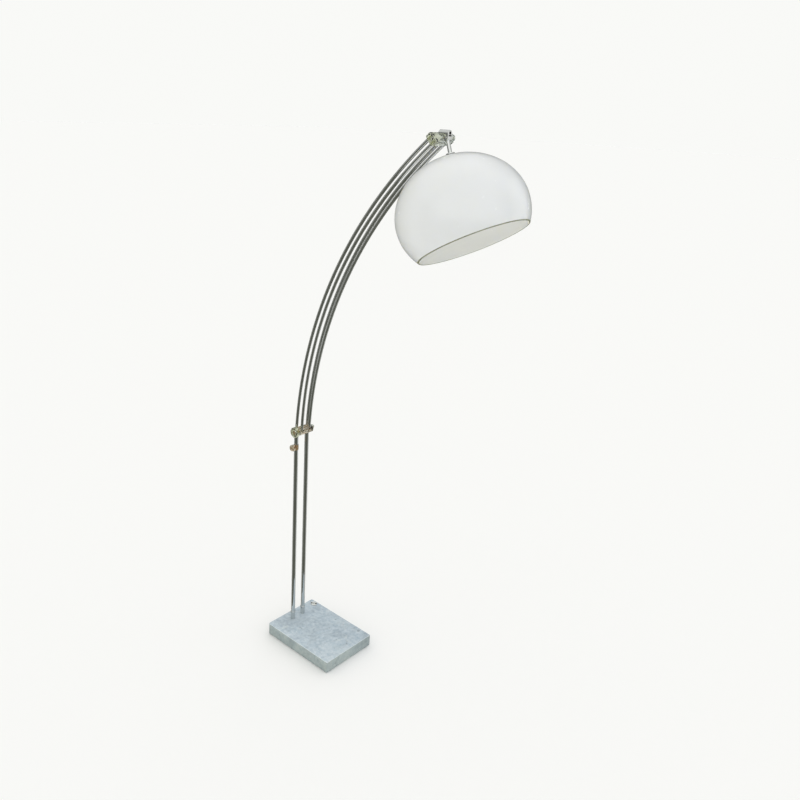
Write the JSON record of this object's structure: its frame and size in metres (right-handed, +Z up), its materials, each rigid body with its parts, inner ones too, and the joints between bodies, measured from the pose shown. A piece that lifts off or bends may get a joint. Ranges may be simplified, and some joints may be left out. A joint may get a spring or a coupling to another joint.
{
  "type": "floor lamp",
  "caption": "Arc floor lamp: marble base, telescopic chrome mast, curved chrome rods joined by clear acrylic bars, and a tilting opal dome shade.",
  "frame": {"origin": "centre of the base's underside, on the floor", "axes": "+Z up; +X along the base from the mast towards the shade, in the lamp's symmetry plane; +Y to the left of that reach"},
  "size_m": [0.9039, 0.4, 2.025],
  "materials": {
    "marble": "polished, pale blue-grey with darker grey mottling",
    "felt": "pressed felt",
    "chrome": "mirror-polished chrome plate",
    "clear_acrylic": "clear cast acrylic, slightly yellow-green",
    "brass": "machined",
    "steel": "turned, zinc-plated",
    "dark_screws": "blackened",
    "nylon": "natural nylon",
    "rubber": "matt",
    "outlet_plastic": "moulded",
    "opal_acrylic": "glossy opal white",
    "holder_plastic": "moulded",
    "bulb_metal": "bright",
    "bulb_glass": "pearl"
  },
  "bodies": {
    "base": {"marble_slab": "marble", "base_felt": "felt", "mast_nipples": "steel", "mast_washers": "steel", "mast_nuts": "steel", "near_mast_socket": "chrome", "far_mast_socket": "chrome", "near_mast_tube": "chrome", "far_mast_tube": "chrome", "near_tube_plug": "steel", "far_tube_plug": "steel", "near_tube_bush": "nylon", "far_tube_bush": "nylon", "lead_outlet": "outlet_plastic", "outlet_screws": "dark_screws", "lock_collar": "clear_acrylic"},
    "lock": {"lock_knob": "clear_acrylic", "lock_knob_insert": "brass", "lock_screw": "brass"},
    "arc": {"near_slider_rod": "chrome", "far_slider_rod": "chrome", "near_slider_shoe": "nylon", "far_slider_shoe": "nylon", "outer_near_rod": "chrome", "outer_far_rod": "chrome", "inner_near_rod": "chrome", "inner_far_rod": "chrome", "clamp_bar": "clear_acrylic", "clamp_grub_screws": "dark_screws", "clamp_washers": "steel", "clamp_bolt": "brass", "clamp_end_ball": "clear_acrylic", "top_bar": "clear_acrylic", "top_grub_screws": "dark_screws", "knuckle": "chrome", "knuckle_screw": "dark_screws", "tilt_screw": "steel", "tilt_spacer": "steel"},
    "clamp_wheel": {"clamp_knob": "clear_acrylic", "clamp_knob_insert": "brass"},
    "tilt_wheel": {"tilt_knob": "clear_acrylic", "tilt_knob_insert": "brass"},
    "head": {"shade_stem": "chrome", "shade_gasket": "rubber", "shade_washer": "steel", "shade_nut": "brass", "dome_shade": "opal_acrylic", "lampholder": "holder_plastic", "lampholder_ring": "holder_plastic", "bulb_cap": "bulb_metal", "bulb_glass": "bulb_glass"}
  },
  "joints": [
    {"name": "height_slide", "type": "slide", "parent": "base", "child": "arc", "axis": [0, 0, 1], "range_m": [0, 0.25]},
    {"name": "lock_knob_turn", "type": "hinge", "parent": "base", "child": "lock", "pos_m": [-0.128, -0.0275, 0.834], "axis": [0, -1, 0], "range_deg": [0, 360]},
    {"name": "clamp_knob_turn", "type": "hinge", "parent": "arc", "child": "clamp_wheel", "pos_m": [-0.11775, -0.045, 0.902], "axis": [0, -1, 0], "range_deg": [0, 360]},
    {"name": "shade_tilt", "type": "hinge", "parent": "arc", "child": "head", "pos_m": [0.458, 0, 2.002], "axis": [0, -1, 0], "range_deg": [-10, 45]},
    {"name": "tilt_knob_turn", "type": "hinge", "parent": "arc", "child": "tilt_wheel", "pos_m": [0.458, 0.0195, 2.002], "axis": [0, 1, 0], "range_deg": [0, 360]}
  ]
}
